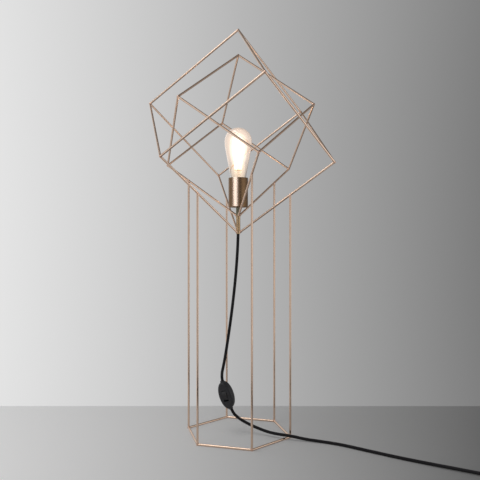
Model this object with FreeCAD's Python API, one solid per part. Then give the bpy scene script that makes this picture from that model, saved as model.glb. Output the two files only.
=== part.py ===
import FreeCAD, Part
import math
import os

vec = FreeCAD.Vector

# Wire frame: two cubes, each standing on one corner, carried by six uprights on a hexagonal base
rod_diameter = 5.0
base_radius = 126.0           # lamp axis to the middle of each upright
outer_edge = 280.0            # cube edges, along the middle of the wires
inner_edge = 222.0
outer_corner_height = 475.5   # floor to the outer cube's lowest corner
inner_corner_rise = 40.0      # from there up to the inner cube's lowest corner

# Stem tube
stem_wall = 1.0
stem_cord_room = 0.5          # between the cord and the stem's bore
stem_overhang = 1.0           # below the outer cube's lowest corner
thread_length = 22.0          # bare thread between the inner cube's lowest corner and the cup

# Lampholder
cup_height = 70.0
cup_wall = 1.2
cup_floor = 3.0
cup_edge_radius = 3.0
boss_diameter = 16.0
boss_height = 6.0
thread_clearance = 0.1
insert_drop = 1.0             # bulb cap's upper edge down to the top of the ceramic insert
insert_clearance = 0.4
insert_web = 0.75             # ceramic left beside each screw head
contact_wall = 5.0
shell_drop = 2.5              # top of the insert down to the top of the screw shell
shell_wall = 0.7
shell_seat_clearance = 0.2
cap_clearance = 0.3
contact_head_diameter = 8.0
contact_head_height = 2.0
contact_shank_diameter = 4.0
contact_collar_diameter = 6.4
contact_collar_height = 1.5
contact_lift = 1.815          # half a turn of the bulb's thread
contact_clearance = 0.3
holder_screw_diameter = 3.0
holder_screw_head_diameter = 5.5
holder_screw_head_height = 2.4
holder_screw_sink = 0.5       # heads below the top of the insert
holder_screw_bite = 2.0       # into the cup floor
screw_clearance = 0.2

# Bulb
bulb_diameter = 65.0
bulb_rise = 120.0             # cup rim to the crown of the glass
bulb_side_radius = 110.0
shoulder_diameter = 33.4      # where the cone turns in to the neck
glass_wall = 0.8
neck_clearance = 0.4          # glass neck in the cap
neck_sink = 8.0               # glass neck inside the cap
shoulder_height = 4.0
cap_diameter = 26.05
cap_wall = 0.5
cap_length = 27.0             # tip to the cap's upper edge
cap_sink = 11.0               # cup rim down to the cap's upper edge
cap_skirt = 5.0               # tip to the cap's lower edge
insulator_height = 8.0
tip_diameter = 9.6
tip_flat_diameter = 6.8
tip_height = 1.2
seal_clearance = 0.2
mount_rod_diameter = 5.0
mount_drop = 28.5             # crown of the glass down to the top of the mount
mount_flare_height = 14.0
filament_count = 8
filament_diameter = 1.8
filament_drop = 6.5           # top of the mount down to the filaments' upper ends
filament_length = 66.0
filament_low_radius = 7.5
filament_high_radius = 11.0
lead_wire_diameter = 1.0

# Cord and its put-away coil
cord_diameter = 7.0
cord_lift = 0.1               # between cord and floor
cord_turn_share = 0.45        # share of the shorter run that an arc takes up
coil_centre_x = 585.0
coil_centre_y = -92.0
coil_turns = 3.25
coil_pitch = 7.5
coil_inner_radius = 29.5
coil_entry_angle = -107.5     # bearing of the coil's start, seen from its middle
coil_approach = 84.0
tie_thickness = 1.0
tie_width = 4.0
tie_gap = 0.3
tie_head = 5.0
tail_length = 58.0

# In-line switch, lying along the cord
switch_low_end = vec(-16.3, -4.7, 58.0)
switch_lean = 18.0            # from the vertical
switch_lean_bearing = 16.1
switch_roll = 20.0
switch_length = 66.0
switch_width = 34.0
switch_base_depth = 10.0
switch_cover_depth = 11.0
switch_edge_radius = 6.0
switch_side_wall = 4.0
switch_front_wall = 4.0
switch_back_wall = 4.0
neck_length = 2.0             # beyond the oval at each end
neck_wall = 1.2
neck_flare = 1.3              # wider at the oval than at the tip
neck_root_depth = 9.0
cord_hole_clearance = 0.2
cord_lead = 9.0               # straight cord outside each neck
cord_depth = 13.0             # cord inside each neck
rocker_radius = 12.6
rocker_width = 11.2
rocker_gap = 0.4
rocker_crown = 7.0            # pivot to the top of the rocker
rocker_shoulder = 3.6
rocker_foot = 2.6
rocker_tilt = 8.0             # each way from level
pivot_depth = 5.5             # below the cover's front
pivot_diameter = 3.0
pivot_length = 1.8
pivot_clearance = 0.08
cheek_thickness = 2.6
cheek_length = 8.0
post_diameter = 6.4
post_x = 17.0
post_y = 8.4
switch_screw_diameter = 2.9
switch_screw_head_diameter = 5.0
switch_screw_head_height = 2.0
switch_screw_sink = 1.2       # heads below the back
contact_strip_width = 5.0
contact_strip_thickness = 0.8
contact_strip_start = 6.0
contact_strip_end = 14.0
contact_strip_rise = 5.0

# Flat two-pin plug
plug_relief_length = 24.0
plug_relief_wall = 1.3
plug_relief_flare = 1.4       # thicker at the plug than at the tip
plug_rib_count = 4
plug_rib_gap = 2.0
plug_rib_depth = 0.8
plug_bore_depth = 12.0
plug_grip_width = 15.0
plug_waist_width = 26.0
plug_face_width = 35.0
plug_grip_thickness = 13.0
plug_thickness = 13.7
plug_body_length = 36.0
plug_waist_length = 16.0      # from the strain relief
plug_corner_radius = 5.0
pin_diameter = 4.0
pin_length = 19.0
pin_spacing = 18.6
pin_root_length = 6.0         # thinner, inside the plug's body
pin_root_diameter = 3.2
pin_clearance = 0.05
pin_tip_radius = 1.5

# Places worked out from the sizes above
rod_radius = rod_diameter / 2
cord_radius = cord_diameter / 2
cord_hole = cord_radius + cord_hole_clearance
stem_bore = cord_diameter + 2 * stem_cord_room
stem_diameter = stem_bore + 2 * stem_wall
corner_rise = 1 / math.sqrt(2)           # climb of a cube's lower edges for each unit outwards
inner_corner_height = outer_corner_height + inner_corner_rise
cup_bottom = inner_corner_height + thread_length
cup_rim = cup_bottom + cup_height
floor_top = cup_bottom + cup_floor
stem_bottom = outer_corner_height - stem_overhang
stem_top = floor_top + boss_height
cap_top = cup_rim - cap_sink
insert_top = cap_top - insert_drop
cap_tip = cap_top - cap_length
contact_top = cap_tip - contact_clearance
contact_wall_top = contact_top - contact_head_height - contact_clearance
shell_inner_radius = cap_diameter / 2 + cap_clearance
shell_outer_radius = shell_inner_radius + shell_wall
insert_bore = shell_outer_radius + shell_seat_clearance
screw_sink_radius = holder_screw_head_diameter / 2 + screw_clearance
holder_screw_place = insert_bore + insert_web + screw_sink_radius
insert_radius = holder_screw_place + screw_sink_radius + insert_web
cup_inner_radius = insert_radius + insert_clearance
cap_inner_radius = cap_diameter / 2 - cap_wall
neck_radius = cap_inner_radius - neck_clearance
crown_height = cup_rim + bulb_rise
mount_top = crown_height - mount_drop
filament_top = mount_top - filament_drop

parts = {}


def polar(radius, degrees, height):
    angle = math.radians(degrees)
    return vec(radius * math.cos(angle), radius * math.sin(angle), height)


def cylinder(radius, start, end):
    return Part.makeCylinder(radius, (end - start).Length, start, end - start)


def upright_tube(outer_radius, inner_radius, low, high):
    outer = cylinder(outer_radius, vec(0, 0, low), vec(0, 0, high))
    return outer.cut(cylinder(inner_radius, vec(0, 0, low - 1), vec(0, 0, high + 1)))


def turned(edges):
    return Part.Face(Part.Wire(edges)).revolve(vec(0, 0, 0), vec(0, 0, 1), 360)


def turned_points(points):
    corners = [vec(r, 0, z) for r, z in points]
    return turned(Part.makePolygon(corners + corners[:1]).Edges)


def keep_side(shape, point, normal):
    # Cuts away everything behind the plane through point, with normal pointing to what stays
    reach = 4 * shape.BoundBox.DiagonalLength
    waste = Part.makeBox(reach, reach, reach, vec(-reach / 2, -reach / 2, 0))
    waste.Placement = FreeCAD.Placement(point, FreeCAD.Rotation(vec(0, 0, 1), normal * -1))
    return shape.cut(waste)


# Wire frame

def mitred_rod(start, end, start_neighbours, end_neighbours):
    # A wire between two corners, cut back half way to each other wire that meets it there
    along = (end - start).normalize()
    rod = cylinder(rod_radius, start - along * rod_diameter, end + along * rod_diameter)
    for neighbour in start_neighbours:
        rod = keep_side(rod, start, along - neighbour)
    for neighbour in end_neighbours:
        rod = keep_side(rod, end, along * -1 - neighbour)
    return rod


def cube_edges(edge, bearing):
    # The three edges that rise from the lowest corner, square to each other
    flat = edge * math.sqrt(2 / 3)
    return [polar(flat, bearing + 120 * i, flat * corner_rise) for i in range(3)]


def wire_cube(name, edge, corner_height, bearing):
    edges = cube_edges(edge, bearing)
    lowest = vec(0, 0, corner_height)
    stem = cylinder(stem_diameter / 2, vec(0, 0, stem_bottom - stem_diameter), vec(0, 0, stem_top))
    counts = {"lower": 0, "middle": 0, "upper": 0}
    for axis in range(3):
        others = [i for i in range(3) if i != axis]
        for low_bits in ((0, 0), (0, 1), (1, 0), (1, 1)):
            start = lowest + edges[others[0]] * low_bits[0] + edges[others[1]] * low_bits[1]
            neighbours = []
            for i, bit in zip(others, low_bits):
                neighbours.append(edges[i] * ((1 - 2 * bit) / edge))
            rod = mitred_rod(start, start + edges[axis], neighbours, neighbours)
            tier = ("lower", "middle", "upper")[sum(low_bits)]
            if tier == "lower":
                rod = rod.cut(stem)
            counts[tier] += 1
            parts["%s_%s_rod_%d" % (name, tier, counts[tier])] = rod


def base_and_uprights():
    feet = [polar(base_radius, 60 * i, 0) for i in range(6)]
    middle = vec(0, 0, rod_radius)
    full_uprights = []
    for i, foot in enumerate(feet):
        outer = i % 2 == 0
        edge = outer_edge if outer else inner_edge
        corner = outer_corner_height if outer else inner_corner_height
        top = vec(foot.x, foot.y, corner + base_radius * corner_rise)
        upright = cylinder(rod_radius, foot, top)
        full_uprights.append(upright)
        carried = cube_edges(edge, 60 * i)[0] + vec(0, 0, corner)
        wire = cylinder(rod_radius, vec(0, 0, corner), carried)
        parts["upright_%d" % (i + 1)] = upright.cut(wire)
    ring = []
    for i, foot in enumerate(feet):
        last, after, later = feet[i - 1], feet[(i + 1) % 6], feet[(i + 2) % 6]
        back = (last - foot).normalize()
        ahead = (later - after).normalize()
        along = (after - foot).normalize()
        rod = cylinder(rod_radius, foot + middle, after + middle)
        rod = keep_side(rod, foot + middle, along - back)
        rod = keep_side(rod, after + middle, along * -1 - ahead)
        ring.append(rod.cut(full_uprights[i]).cut(full_uprights[(i + 1) % 6]))
    parts["base_ring"] = Part.Compound(ring)


# Stem and lampholder

def stem():
    parts["stem_tube"] = upright_tube(stem_diameter / 2, stem_bore / 2, stem_bottom, stem_top)


def lampholder():
    cup = cylinder(cup_inner_radius + cup_wall, vec(0, 0, cup_bottom), vec(0, 0, cup_rim))
    bottom_edges = [e for e in cup.Edges if e.BoundBox.ZMax < cup_bottom + cup_wall]
    cup = cup.makeFillet(cup_edge_radius, bottom_edges)
    cup = cup.cut(cylinder(cup_inner_radius, vec(0, 0, floor_top), vec(0, 0, cup_rim + 1)))
    boss_root = floor_top - cup_floor / 2
    cup = cup.fuse(cylinder(boss_diameter / 2, vec(0, 0, boss_root), vec(0, 0, stem_top)))
    thread_radius = stem_diameter / 2 + thread_clearance
    cup = cup.cut(cylinder(thread_radius, vec(0, 0, cup_bottom - 1), vec(0, 0, stem_top + 1)))

    boss_room = boss_diameter / 2 + 2 * insert_clearance
    chamber_radius = shell_inner_radius - shell_wall
    wall_bottom = contact_wall_top - contact_wall
    recess_top = stem_top + 2 * insert_clearance
    insert = turned_points([
        (boss_room, floor_top), (insert_radius, floor_top), (insert_radius, insert_top),
        (insert_bore, insert_top), (insert_bore, contact_wall_top),
        (contact_shank_diameter / 2 + contact_clearance, contact_wall_top),
        (contact_shank_diameter / 2 + contact_clearance, wall_bottom),
        (chamber_radius, wall_bottom), (chamber_radius, recess_top), (boss_room, recess_top)])

    screws = []
    head_low = insert_top - holder_screw_sink - holder_screw_head_height
    for bearing in (30, 210):
        place = polar(holder_screw_place, bearing, 0)
        bite = place + vec(0, 0, floor_top - holder_screw_bite)
        head_base = place + vec(0, 0, head_low)
        head_end = head_base + vec(0, 0, holder_screw_head_height)
        shank = cylinder(holder_screw_diameter / 2, bite, head_base)
        head = cylinder(holder_screw_head_diameter / 2, head_base, head_end)
        rim = [e for e in head.Edges if e.BoundBox.ZMin > head_end.z - screw_clearance]
        head = head.makeChamfer(screw_clearance * 2, rim)
        screws.append(shank.fuse(head).removeSplitter())
        hole_radius = holder_screw_diameter / 2 + screw_clearance
        insert = insert.cut(cylinder(hole_radius, place + vec(0, 0, floor_top - 1), head_base))
        insert = insert.cut(cylinder(screw_sink_radius, head_base, place + vec(0, 0, insert_top + 1)))
        hole_end = bite - vec(0, 0, screw_clearance)
        cup = cup.cut(cylinder(hole_radius, hole_end, place + vec(0, 0, floor_top + 1)))
    parts["lampholder_cup"] = cup.removeSplitter()
    parts["holder_insert"] = insert
    parts["holder_screws"] = Part.Compound(screws)
    parts["screw_shell"] = upright_tube(
        shell_outer_radius, shell_inner_radius, contact_wall_top, insert_top - shell_drop)

    head = contact_head_diameter / 2
    shank = contact_shank_diameter / 2
    collar = contact_collar_diameter / 2
    head_low = contact_top - contact_head_height
    collar_top = wall_bottom - contact_lift - 2 * contact_clearance
    parts["centre_contact"] = turned_points([
        (0, collar_top - contact_collar_height), (collar, collar_top - contact_collar_height),
        (collar, collar_top), (shank, collar_top), (shank, head_low), (head, head_low),
        (head, contact_top - contact_clearance), (head - contact_clearance, contact_top), (0, contact_top)])


# Bulb

def glass_form(inset, low):
    # The envelope's outline, drawn in by inset: dome, rounded flank, cone, shoulder and neck.
    # The cone is the line from the shoulder that just touches the flank's circle.
    widest = bulb_diameter / 2
    dome_middle = vec(0, 0, crown_height - widest)
    flank_middle = dome_middle + vec(widest - bulb_side_radius, 0, 0)
    shoulder = vec(shoulder_diameter / 2, 0, cap_top + shoulder_height)
    across = shoulder - flank_middle
    cone_slope = math.atan2(-across.z, across.x) - math.acos(bulb_side_radius / across.Length)

    def out(angle):
        return vec(math.cos(angle), 0, -math.sin(angle))

    dome_radius = widest - inset
    flank_radius = bulb_side_radius - inset
    crown = dome_middle + vec(0, 0, dome_radius)
    mid_dome = dome_middle + out(-math.pi / 4) * dome_radius
    side = flank_middle + out(0) * flank_radius
    mid_side = flank_middle + out(cone_slope / 2) * flank_radius
    cone_top = flank_middle + out(cone_slope) * flank_radius
    cone_low = shoulder - out(cone_slope) * inset
    neck = neck_radius - inset
    neck_top = vec(neck, 0, cap_top + shoulder_height / 4)
    rounds = [Part.Arc(crown, mid_dome, side).toShape(), Part.Arc(side, mid_side, cone_top).toShape()]
    rest = [cone_top, cone_low, neck_top, vec(neck, 0, low), vec(0, 0, low), crown]
    return turned(rounds + Part.makePolygon(rest).Edges)


def bulb():
    neck_low = cap_top - neck_sink
    parts["bulb_glass"] = glass_form(0, neck_low).cut(glass_form(glass_wall, neck_low - 1))
    parts["bulb_cap"] = upright_tube(cap_diameter / 2, cap_inner_radius, cap_tip + cap_skirt, cap_top)
    plug_radius = cap_inner_radius - seal_clearance
    tip_radius = tip_diameter / 2
    parts["bulb_cap_insulator"] = turned_points([
        (0, cap_tip + tip_height), (tip_radius + seal_clearance, cap_tip + tip_height),
        (plug_radius, cap_tip + cap_skirt), (plug_radius, cap_tip + insulator_height),
        (0, cap_tip + insulator_height)])
    parts["bulb_tip_contact"] = turned_points([
        (0, cap_tip), (tip_flat_diameter / 2, cap_tip), (tip_radius, cap_tip + tip_height / 2),
        (tip_radius, cap_tip + tip_height), (0, cap_tip + tip_height)])

    flare = neck_radius - glass_wall - seal_clearance
    rod = mount_rod_diameter / 2
    parts["bulb_mount"] = turned_points([
        (0, neck_low), (flare, neck_low), (flare, neck_low + rod), (rod, neck_low + mount_flare_height),
        (rod, mount_top - rod), (0, mount_top)])

    filaments = []
    filament_bottom = filament_top - filament_length
    for i in range(filament_count):
        bearing = 360 * i / filament_count
        low_end = polar(filament_low_radius, bearing, filament_bottom)
        high_end = polar(filament_high_radius, bearing, filament_top)
        filaments.append(cylinder(filament_diameter / 2, low_end, high_end))
    parts["bulb_filaments"] = Part.Compound(filaments)
    parts["bulb_lead_wires"] = Part.Compound([
        spider(filament_low_radius, filament_bottom, -1), spider(filament_high_radius, filament_top, 1)])


def spider(radius, height, side):
    # Wire arms from the glass mount to the filaments' ends, on a collar round the mount
    wire = lead_wire_diameter / 2
    middle = height + side * (wire + filament_diameter / 4)
    mount = mount_rod_diameter / 2
    collar_radius = mount + 2 * wire
    web = cylinder(collar_radius, vec(0, 0, middle - wire), vec(0, 0, middle + wire))
    for i in range(filament_count):
        bearing = 360 * i / filament_count
        web = web.fuse(cylinder(wire, polar(mount, bearing, middle), polar(radius + wire, bearing, middle)))
    clear = cylinder(mount + seal_clearance, vec(0, 0, middle - 2 * wire), vec(0, 0, middle + 2 * wire))
    return web.cut(clear).removeSplitter()


# Cord: straight runs joined by arcs as large as the runs allow

def swept(path, radius):
    start = path[0].valueAt(path[0].FirstParameter)
    tangent = path[0].tangentAt(path[0].FirstParameter)
    ring = Part.Wire(Part.makeCircle(radius, start, tangent))
    return Part.Wire(path).makePipeShell([ring], True, False)


def tangent_arc(start, tangent, end):
    chord = end - start
    half = chord.Length / 2
    ahead = vec(chord).normalize()
    aside = tangent - ahead * tangent.dot(ahead)
    if aside.Length < 1e-9:
        return Part.LineSegment(start, end).toShape()
    bulge = half * math.tan(tangent.getAngle(chord) / 2)
    return Part.Arc(start, start + chord / 2 + aside.normalize() * bulge, end).toShape()


def cord_run(name, points):
    path = []
    radii = []
    here = points[0]
    for last, corner, after in zip(points, points[1:], points[2:]):
        run_in = corner - last
        run_out = after - corner
        reach = cord_turn_share * min(run_in.Length, run_out.Length)
        turn = run_in.getAngle(run_out)
        radii.append(reach / math.tan(turn / 2))
        arc_start = corner - run_in.normalize() * reach
        arc_end = corner + run_out.normalize() * reach
        path.append(Part.LineSegment(here, arc_start).toShape())
        path.append(tangent_arc(arc_start, run_in, arc_end))
        here = arc_end
    path.append(Part.LineSegment(here, points[-1]).toShape())
    tube = swept(path, cord_radius)
    length = sum(edge.Length for edge in path)
    share = tube.Volume / (math.pi * cord_radius ** 2 * length)
    print(name, "length %.1f" % length, "volume share %.5f" % share, "radii", [round(r) for r in radii])
    parts[name] = tube


coil_low = cord_radius + tie_thickness + tie_gap
coil_layer_turns = coil_turns / 2


def coil_point(turns):
    # In along the floor layer, out along the upper one, climbing in the half turn between them
    past_middle = turns - coil_layer_turns
    climb = min(max(past_middle * 2 + 0.5, 0), 1)
    height = coil_low + coil_pitch * (3 - 2 * climb) * climb ** 2
    place = polar(coil_inner_radius + coil_pitch * abs(past_middle), coil_entry_angle + 360 * turns, height)
    return place + vec(coil_centre_x, coil_centre_y, 0)


def coil_tangent(turns):
    step = 1e-5
    return (coil_point(turns + step) - coil_point(turns - step)).normalize()


def coil():
    # Two arcs that share a tangent in each quarter turn, with a straight end one diameter long each way
    quarters = round(coil_turns * 4)
    start_tangent = coil_tangent(0)
    end_tangent = coil_tangent(coil_turns)
    entry = coil_point(0) - start_tangent * cord_diameter
    path = [Part.LineSegment(entry, coil_point(0)).toShape()]
    for i in range(quarters):
        a = coil_point(i / 4)
        b = coil_point((i + 1) / 4)
        ta = coil_tangent(i / 4)
        tb = coil_tangent((i + 1) / 4)
        chord = b - a
        both = ta + tb
        spread = 2 * (1 - ta.dot(tb))
        root = math.sqrt(chord.dot(both) ** 2 + spread * chord.dot(chord))
        reach = (root - chord.dot(both)) / spread
        middle = (a + b + (ta - tb) * reach) / 2
        middle_tangent = (b - a - (ta + tb) * reach).normalize()
        path.append(tangent_arc(a, ta, middle))
        path.append(tangent_arc(middle, middle_tangent, b))
    leave = coil_point(coil_turns) + end_tangent * cord_diameter
    path.append(Part.LineSegment(coil_point(coil_turns), leave).toShape())
    tube = swept(path, cord_radius)
    length = sum(edge.Length for edge in path)
    share = tube.Volume / (math.pi * cord_radius ** 2 * length)
    print("cord_coil length %.1f" % length, "volume share %.5f" % share, "least gap %.2f" % coil_gap(path))
    parts["cord_coil"] = tube
    return entry, start_tangent, leave, end_tangent


def coil_gap(path):
    # Least distance between stretches of the coil that lie more than a third of a turn apart
    points = [p for edge in path for p in edge.discretize(7)[:-1]]
    apart = len(points) // round(coil_turns * 3)
    least = min((p - q).Length for i, p in enumerate(points) for q in points[i + apart:])
    return least - cord_diameter


def coil_tie():
    # A band round the four strands where they lie two by two, with its small lock on the outside
    turns = (coil_turns - 3) / 2
    out = polar(1, coil_entry_angle + 360 * turns, 0)
    along = vec(0, 0, 1).cross(out)
    inner_size = coil_pitch + cord_diameter + 2 * tie_gap
    middle_radius = coil_inner_radius + coil_pitch * (coil_layer_turns - turns) - coil_pitch / 2
    middle = out * middle_radius + vec(coil_centre_x, coil_centre_y, coil_low + coil_pitch / 2)

    def frame(size, corner):
        box = Part.makeBox(size, tie_width, size, vec(-size / 2, -tie_width / 2, -size / 2))
        return box.makeFillet(corner, [e for e in box.Edges if abs(e.tangentAt(0).y) > 0.9])

    outer_size = inner_size + 2 * tie_thickness
    band = frame(outer_size, cord_radius + tie_thickness).cut(frame(inner_size, cord_radius))
    lock_x = inner_size / 2 + tie_thickness / 2
    lock = Part.makeBox(tie_head, tie_head, tie_head, vec(lock_x, -tie_head / 2, -tie_head / 2))
    tie = band.fuse(lock).removeSplitter()
    tie.Placement = FreeCAD.Placement(middle, FreeCAD.Rotation(out, along, vec(0, 0, 1), "ZXY"))
    parts["coil_tie"] = tie


def tail(start, heading):
    # Down from the coil's upper layer to the plug, which lies flat on the floor
    drop = start.z - plug_thickness / 2
    steps = ((0, 0), (0.22, 0), (0.49, 0.66), (0.77, 1), (1, 1))
    points = []
    for share, fall in steps:
        points.append(start + heading * (tail_length * share) - vec(0, 0, drop * fall))
    cord_run("cord_tail", points)
    return points[-1]


# In-line switch, drawn lying along X with its front towards +Z, then placed on the cord

def switch_frame():
    lean = math.radians(switch_lean)
    down = polar(math.sin(lean), switch_lean_bearing, -math.cos(lean))
    level = down.cross(vec(0, 0, 1)).normalize()
    return down, FreeCAD.Rotation(down, switch_roll).multVec(level)


switch_down, switch_front = switch_frame()
switch_across = switch_front.cross(switch_down)
switch_reach = switch_length / 2 + neck_length
switch_middle = switch_low_end - switch_down * switch_reach
switch_high_end = switch_middle - switch_down * switch_reach
switch_place = FreeCAD.Placement(
    switch_middle, FreeCAD.Rotation(switch_down, switch_across, switch_front, "ZXY"))
pivot_height = switch_cover_depth - pivot_depth


def oval(length, width, low, high):
    ellipse = Part.Ellipse(vec(0, 0, low), length / 2, width / 2)
    return Part.Face(Part.Wire(ellipse.toShape())).extrude(vec(0, 0, high - low))


def along_x(radius, start, end, y, z):
    return cylinder(radius, vec(start, y, z), vec(end, y, z))


def switch_housing():
    body = oval(switch_length, switch_width, -switch_base_depth, switch_cover_depth)
    rims = [e for e in body.Edges if e.BoundBox.ZLength < switch_edge_radius]
    body = body.makeFillet(switch_edge_radius, rims)
    for side in (1, -1):
        root = vec(side * (switch_reach - neck_root_depth), 0, 0)
        tip_radius = cord_hole + neck_wall
        body = body.fuse(Part.makeCone(
            tip_radius + neck_flare, tip_radius, neck_root_depth, root, vec(side, 0, 0)))
    body = body.cut(along_x(cord_hole, -2 * switch_reach, 2 * switch_reach, 0, 0))
    base = keep_side(body, vec(0, 0, 0), vec(0, 0, -1))
    cover = keep_side(body, vec(0, 0, 0), vec(0, 0, 1))
    room_length = switch_length - 2 * neck_root_depth
    room_width = switch_width - 2 * switch_side_wall
    base_floor = -switch_base_depth + switch_back_wall
    cover_roof = switch_cover_depth - switch_front_wall
    base = base.cut(oval(room_length, room_width, base_floor, 1))
    cover = cover.cut(oval(room_length, room_width, -1, cover_roof))

    screws = []
    for x, y in ((post_x, post_y), (-post_x, -post_y)):
        post = post_diameter / 2
        base = base.fuse(cylinder(post, vec(x, y, base_floor - 1), vec(x, y, 0)))
        cover = cover.fuse(cylinder(post, vec(x, y, 0), vec(x, y, cover_roof + 1)))
        head_low = -switch_base_depth + switch_screw_sink
        head_high = head_low + switch_screw_head_height
        hole = switch_screw_diameter / 2 + screw_clearance
        sink = switch_screw_head_diameter / 2 + screw_clearance
        tip = cover_roof - screw_clearance
        base = base.cut(cylinder(hole, vec(x, y, head_high), vec(x, y, 1)))
        base = base.cut(cylinder(sink, vec(x, y, -switch_base_depth - 1), vec(x, y, head_high)))
        cover = cover.cut(cylinder(hole, vec(x, y, -1), vec(x, y, tip + screw_clearance)))
        head = cylinder(switch_screw_head_diameter / 2, vec(x, y, head_low), vec(x, y, head_high))
        screws.append(head.fuse(cylinder(
            switch_screw_diameter / 2, vec(x, y, head_low), vec(x, y, tip))).removeSplitter())

    slot_width = rocker_width + 2 * rocker_gap
    slot_length = 2 * (rocker_radius + rocker_gap)
    slot_corner = vec(-slot_length / 2, -slot_width / 2, 0)
    slot = Part.makeBox(slot_length, slot_width, 2 * switch_cover_depth, slot_corner)
    for side in (1, -1):
        y = side * slot_width / 2 + (0 if side > 0 else -cheek_thickness)
        low = pivot_height - pivot_diameter
        cheek = Part.makeBox(
            cheek_length, cheek_thickness, cover_roof + 1 - low, vec(-cheek_length / 2, y, low))
        cover = cover.fuse(cheek)
    cover = cover.cut(slot)
    pin_reach = slot_width / 2 + cheek_thickness
    hole = pivot_diameter / 2 + pivot_clearance
    cover = cover.cut(cylinder(hole, vec(0, -pin_reach, pivot_height), vec(0, pin_reach, pivot_height)))
    parts["switch_base"] = base.removeSplitter()
    parts["switch_cover"] = cover.removeSplitter()
    parts["switch_screws"] = Part.Compound(screws)


def rocker():
    # Ends turned round the pivot, so that they keep their gap as it tips; at rest it is tipped fully on
    shoulder_x = math.sqrt(rocker_radius ** 2 - rocker_shoulder ** 2)
    foot_x = math.sqrt(rocker_radius ** 2 - rocker_foot ** 2)

    def point(x, z):
        return vec(x, -rocker_width / 2, pivot_height + z)

    high_left = point(-shoulder_x, rocker_shoulder)
    high_right = point(shoulder_x, rocker_shoulder)
    low_left = point(-foot_x, -rocker_foot)
    low_right = point(foot_x, -rocker_foot)
    top = Part.Arc(high_right, point(0, rocker_crown), high_left)
    left = Part.Arc(high_left, point(-rocker_radius, 0), low_left)
    foot = Part.LineSegment(low_left, low_right)
    right = Part.Arc(low_right, point(rocker_radius, 0), high_right)
    outline = Part.Wire([top.toShape(), left.toShape(), foot.toShape(), right.toShape()])
    body = Part.Face(outline).extrude(vec(0, rocker_width, 0))
    pin_reach = rocker_width / 2 + pivot_length
    body = body.fuse(cylinder(
        pivot_diameter / 2, vec(0, -pin_reach, pivot_height), vec(0, pin_reach, pivot_height)))
    body.rotate(vec(0, 0, pivot_height), vec(0, 1, 0), rocker_tilt)
    parts["switch_rocker"] = body.removeSplitter()


def switch_contacts():
    strips = []
    floor = -switch_base_depth + switch_back_wall
    for side in (1, -1):
        y = -contact_strip_width / 2
        low = min(side * contact_strip_start, side * contact_strip_end)
        span = contact_strip_end - contact_strip_start
        flat = Part.makeBox(span, contact_strip_width, contact_strip_thickness, vec(low, y, floor))
        riser_x = contact_strip_start if side > 0 else -contact_strip_start - contact_strip_thickness
        riser = Part.makeBox(
            contact_strip_thickness, contact_strip_width, contact_strip_rise, vec(riser_x, y, floor))
        strips.append(flat.fuse(riser).removeSplitter())
    parts["switch_contacts"] = Part.Compound(strips)


def switch():
    switch_housing()
    rocker()
    switch_contacts()
    for name in ("switch_base", "switch_cover", "switch_screws", "switch_rocker", "switch_contacts"):
        parts[name].Placement = switch_place.multiply(parts[name].Placement)
    pivot = switch_place.multVec(vec(0, 0, pivot_height))
    print("rocker pivot", [round(c, 3) for c in pivot], "axis", [round(c, 5) for c in switch_across])


# Plug, drawn along X from the cord to the pins, then placed at the cord's end

def rounded_section(x, width, thickness):
    # A rounded oblong across the plug; its corners never take up the whole thickness
    corner = min(plug_corner_radius, thickness / 2.2)
    box = Part.makeBox(width, width, thickness, vec(x, -width / 2, -thickness / 2))
    box = box.makeFillet(corner, [e for e in box.Edges if abs(e.tangentAt(0).x) > 0.9])
    face = [f for f in box.Faces if f.BoundBox.XMax < x + width / 2][0]
    return face.OuterWire


def plug(start, heading):
    tip_radius = cord_hole + plug_relief_wall
    root_radius = tip_radius + plug_relief_flare
    outline = [(0, 0), (0, tip_radius)]
    step = plug_relief_length / (plug_rib_count + 1)
    taper = plug_relief_flare / plug_relief_length
    for i in range(plug_rib_count):
        x = step * (i + 1) - plug_rib_gap / 2
        radius = tip_radius + taper * x
        outline += [(x, radius), (x, radius - plug_rib_depth)]
        outline += [(x + plug_rib_gap, radius - plug_rib_depth), (x + plug_rib_gap, radius)]
    outline += [(plug_relief_length, root_radius), (plug_relief_length, 0)]
    corners = [vec(x, r, 0) for x, r in outline]
    relief = Part.Face(Part.makePolygon(corners + corners[:1])).revolve(vec(0, 0, 0), vec(1, 0, 0), 360)
    grip = plug_relief_length - plug_rib_gap
    face = plug_relief_length + plug_body_length
    waist = plug_relief_length + plug_waist_length
    body = Part.makeLoft([
        rounded_section(grip, plug_grip_width, plug_grip_thickness),
        rounded_section(waist, plug_waist_width, plug_thickness),
        rounded_section(face, plug_face_width, plug_thickness)], True, True)
    body = body.fuse(relief)
    body = body.cut(along_x(cord_hole, -1, plug_bore_depth, 0, 0))
    pins = []
    for y in (-pin_spacing / 2, pin_spacing / 2):
        root_end = face - pin_root_length
        body = body.cut(along_x(pin_root_diameter / 2 + pin_clearance, root_end, face + 1, y, 0))
        pin = along_x(pin_diameter / 2, face, face + pin_length, y, 0)
        tip = [e for e in pin.Edges if e.BoundBox.XMin > face + pin_length - pin_tip_radius]
        pin = pin.makeFillet(pin_tip_radius, tip)
        pins.append(pin.fuse(along_x(pin_root_diameter / 2, root_end, face, y, 0)))
    up = vec(0, 0, 1)
    turn = FreeCAD.Rotation(heading, up.cross(heading), up, "ZXY")
    place = FreeCAD.Placement(start - heading * plug_bore_depth, turn)
    parts["plug_body"] = body.removeSplitter()
    parts["plug_pins"] = Part.Compound(pins)
    for name in ("plug_body", "plug_pins"):
        parts[name].Placement = place
    for y in (-pin_spacing / 2, pin_spacing / 2):
        print("plug pin at the face", [round(c, 3) for c in place.multVec(vec(face, y, 0))],
              "axis", [round(c, 5) for c in heading])


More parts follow.
